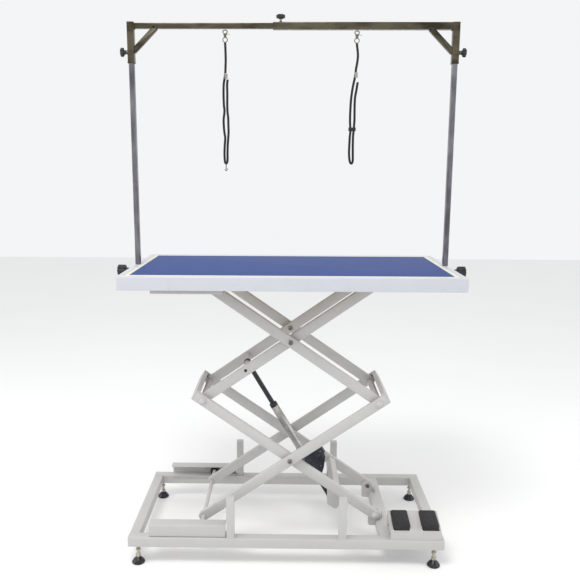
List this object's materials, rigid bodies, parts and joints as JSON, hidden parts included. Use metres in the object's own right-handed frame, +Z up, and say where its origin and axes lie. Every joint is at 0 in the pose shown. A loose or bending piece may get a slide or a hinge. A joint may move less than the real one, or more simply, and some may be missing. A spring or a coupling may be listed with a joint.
{
  "type": "grooming table",
  "caption": "Height-adjustable grooming table: a matted rectangular top on a motor-driven double scissor lift, with a floor frame, foot pedals and an overhead bar with hanging loops.",
  "frame": {"origin": "on the floor, under the middle of the table top", "axes": "+X to the right along the table's length, towards the pedals; +Y away from the pedals; +Z up"},
  "size_m": [1.39, 0.65, 2.0862],
  "materials": {
    "coat": "powder-coated light grey-white",
    "table_coat": "powder-coated bluish white",
    "stainless": "polished stainless",
    "bolt_steel": "dark zinc",
    "silver_tube": "satin fluted",
    "black_plastic": "moulded black",
    "black_rubber": "matt black",
    "rod_black": "satin black",
    "mat_rubber": "fine-grained blue",
    "board": "plain board",
    "webbing": "woven black webbing"
  },
  "bodies": {
    "base": {"base_frame": "coat", "lower_track_front": "coat", "lower_track_rear": "coat", "pedal_box": "coat"},
    "lower_inner": {"lower_inner_arm_front": "coat", "lower_inner_arm_rear": "coat", "lower_inner_end_beam": "coat", "actuator_tail_bracket": "coat", "fixed_pivot_bolt_front": "bolt_steel", "fixed_pivot_bolt_rear": "bolt_steel", "mid_left_pivot_shaft": "coat", "lower_centre_bolt_front": "bolt_steel", "lower_centre_bolt_rear": "bolt_steel"},
    "lower_outer": {"lower_outer_arm_front": "coat", "lower_outer_arm_rear": "coat", "lower_outer_end_beam": "coat", "lower_roller_shaft": "coat", "mid_right_pivot_shaft": "coat"},
    "upper_inner": {"upper_inner_arm_front": "coat", "upper_inner_arm_rear": "coat", "actuator_rod_shaft": "coat", "upper_centre_bolt_front": "bolt_steel", "upper_centre_bolt_rear": "bolt_steel"},
    "upper_outer": {"upper_outer_arm_front": "coat", "upper_outer_arm_rear": "coat", "upper_roller_shaft": "coat"},
    "actuator_rod": {"actuator_rod": "rod_black"},
    "actuator_body": {"actuator_tube": "silver_tube", "actuator_motor_housing": "black_plastic"},
    "table": {"table_frame": "table_coat", "table_board": "board", "rubber_mat": "mat_rubber", "upper_track_front": "coat", "upper_track_rear": "coat", "table_pivot_beam": "coat", "upper_fixed_pivot_shaft": "bolt_steel"},
    "posts": {"post_left": "stainless", "post_right": "stainless"},
    "overhead": {"overhead_left": "stainless", "overhead_right": "stainless"},
    "lower_roller_front": {"lower_roller_front": "black_rubber"},
    "upper_roller_front": {"upper_roller_front": "black_rubber"},
    "lower_roller_rear": {"lower_roller_rear": "black_rubber"},
    "upper_roller_rear": {"upper_roller_rear": "black_rubber"},
    "pedal_up": {"pedal_up": "black_plastic"},
    "pedal_down": {"pedal_down": "black_plastic"},
    "levelling_foot_front_left": {"levelling_foot_front_left": "black_rubber"},
    "levelling_foot_front_right": {"levelling_foot_front_right": "black_rubber"},
    "levelling_foot_rear_left": {"levelling_foot_rear_left": "black_rubber"},
    "levelling_foot_rear_right": {"levelling_foot_rear_right": "black_rubber"},
    "clamp_knob_left": {"clamp_knob_left": "black_plastic"},
    "sleeve_knob_left": {"sleeve_knob_left": "black_plastic"},
    "clamp_knob_right": {"clamp_knob_right": "black_plastic"},
    "sleeve_knob_right": {"sleeve_knob_right": "black_plastic"},
    "bar_knob": {"bar_knob": "black_plastic"},
    "grooming_loop_left": {"snap_hook_left": "stainless", "loop_strap_left": "webbing", "loop_end_hook_left": "black_plastic"},
    "grooming_loop_right": {"snap_hook_right": "stainless", "loop_strap_right": "webbing"}
  },
  "joints": [
    {"name": "lift", "type": "hinge", "parent": "base", "child": "lower_inner", "pos_m": [0.34547, 0, 0.1386], "axis": [0, 1, 0], "range_deg": [-29.6, 0]},
    {"name": "lower_centre_pivot", "type": "hinge", "parent": "lower_inner", "child": "lower_outer", "pos_m": [0, 0, 0.37746], "axis": [0, 1, 0], "range_deg": [0, 60]},
    {"name": "mid_left_pivot", "type": "hinge", "parent": "lower_inner", "child": "upper_inner", "pos_m": [-0.34547, 0, 0.61631], "axis": [0, 1, 0], "range_deg": [0, 60]},
    {"name": "upper_centre_pivot", "type": "hinge", "parent": "upper_inner", "child": "upper_outer", "pos_m": [0, 0, 0.85517], "axis": [0, 1, 0], "range_deg": [-60, 0]},
    {"name": "table_pivot", "type": "hinge", "parent": "upper_inner", "child": "table", "pos_m": [0.34547, 0, 1.09403], "axis": [0, 1, 0], "range_deg": [-30, 0]},
    {"name": "rod_pivot", "type": "hinge", "parent": "upper_inner", "child": "actuator_rod", "pos_m": [-0.17652, 0, 0.73507], "axis": [0, 1, 0], "range_deg": [-67, 0]},
    {"name": "rod_stroke", "type": "slide", "parent": "actuator_rod", "child": "actuator_body", "axis": [0.5113, 0, -0.8594], "range_m": [-0.187, 0]},
    {"name": "lower_roller_front_spin", "type": "hinge", "parent": "lower_outer", "child": "lower_roller_front", "pos_m": [-0.34547, 0, 0.1386], "axis": [0, 1, 0], "continuous": true},
    {"name": "upper_roller_front_spin", "type": "hinge", "parent": "upper_outer", "child": "upper_roller_front", "pos_m": [-0.34547, 0, 1.09403], "axis": [0, 1, 0], "continuous": true},
    {"name": "lower_roller_rear_spin", "type": "hinge", "parent": "lower_outer", "child": "lower_roller_rear", "pos_m": [-0.34547, 0, 0.1386], "axis": [0, 1, 0], "continuous": true},
    {"name": "upper_roller_rear_spin", "type": "hinge", "parent": "upper_outer", "child": "upper_roller_rear", "pos_m": [-0.34547, 0, 1.09403], "axis": [0, 1, 0], "continuous": true},
    {"name": "pedal_up_press", "type": "hinge", "parent": "base", "child": "pedal_up", "pos_m": [0.4335, -0.186, 0.1656], "axis": [1, 0, 0], "range_deg": [0, 6], "stiffness_Nm_per_rad": 12, "springref_deg": -2.86},
    {"name": "pedal_down_press", "type": "hinge", "parent": "base", "child": "pedal_down", "pos_m": [0.545, -0.186, 0.1656], "axis": [1, 0, 0], "range_deg": [0, 6], "stiffness_Nm_per_rad": 12, "springref_deg": -2.86},
    {"name": "levelling_foot_front_left_height", "type": "slide", "parent": "base", "child": "levelling_foot_front_left", "axis": [0, 0, 1], "range_m": [-0.02, 0.006]},
    {"name": "levelling_foot_front_right_height", "type": "slide", "parent": "base", "child": "levelling_foot_front_right", "axis": [0, 0, 1], "range_m": [-0.02, 0.006]},
    {"name": "levelling_foot_rear_left_height", "type": "slide", "parent": "base", "child": "levelling_foot_rear_left", "axis": [0, 0, 1], "range_m": [-0.02, 0.006]},
    {"name": "levelling_foot_rear_right_height", "type": "slide", "parent": "base", "child": "levelling_foot_rear_right", "axis": [0, 0, 1], "range_m": [-0.02, 0.006]},
    {"name": "post_height", "type": "slide", "parent": "table", "child": "posts", "axis": [0, 0, 1], "range_m": [-0.02, 0.02]},
    {"name": "overhead_height", "type": "slide", "parent": "posts", "child": "overhead", "axis": [0, 0, 1], "range_m": [-0.3, 0.08]},
    {"name": "clamp_knob_left_turn", "type": "hinge", "parent": "table", "child": "clamp_knob_left", "pos_m": [-0.6233, 0, 1.11323], "axis": [1, 0, 0], "continuous": true},
    {"name": "sleeve_knob_left_turn", "type": "hinge", "parent": "overhead", "child": "sleeve_knob_left", "pos_m": [-0.6233, 0, 1.95023], "axis": [1, 0, 0], "continuous": true},
    {"name": "clamp_knob_right_turn", "type": "hinge", "parent": "table", "child": "clamp_knob_right", "pos_m": [0.6233, 0, 1.11323], "axis": [1, 0, 0], "continuous": true},
    {"name": "sleeve_knob_right_turn", "type": "hinge", "parent": "overhead", "child": "sleeve_knob_right", "pos_m": [0.6233, 0, 1.95023], "axis": [1, 0, 0], "continuous": true},
    {"name": "bar_knob_turn", "type": "hinge", "parent": "overhead", "child": "bar_knob", "pos_m": [-0.046, 0, 2.05553], "axis": [0, 0, 1], "continuous": true},
    {"name": "grooming_loop_left_swing", "type": "hinge", "parent": "overhead", "child": "grooming_loop_left", "pos_m": [-0.256, 0, 2.03523], "axis": [0, 1, 0], "range_deg": [-25, 25]},
    {"name": "grooming_loop_right_swing", "type": "hinge", "parent": "overhead", "child": "grooming_loop_right", "pos_m": [0.242, 0, 2.03223], "axis": [0, 1, 0], "range_deg": [-25, 25]}
  ],
  "couplings": [
    {"joint": "lower_centre_pivot", "follows": "lift", "ratio": -2},
    {"joint": "mid_left_pivot", "follows": "lift", "ratio": -2},
    {"joint": "upper_centre_pivot", "follows": "lift", "ratio": 2},
    {"joint": "table_pivot", "follows": "lift", "ratio": 1},
    {"joint": "rod_pivot", "follows": "lift", "ratio": 2.2484},
    {"joint": "rod_stroke", "follows": "lift", "m_per_rad": 0.3596}
  ]
}
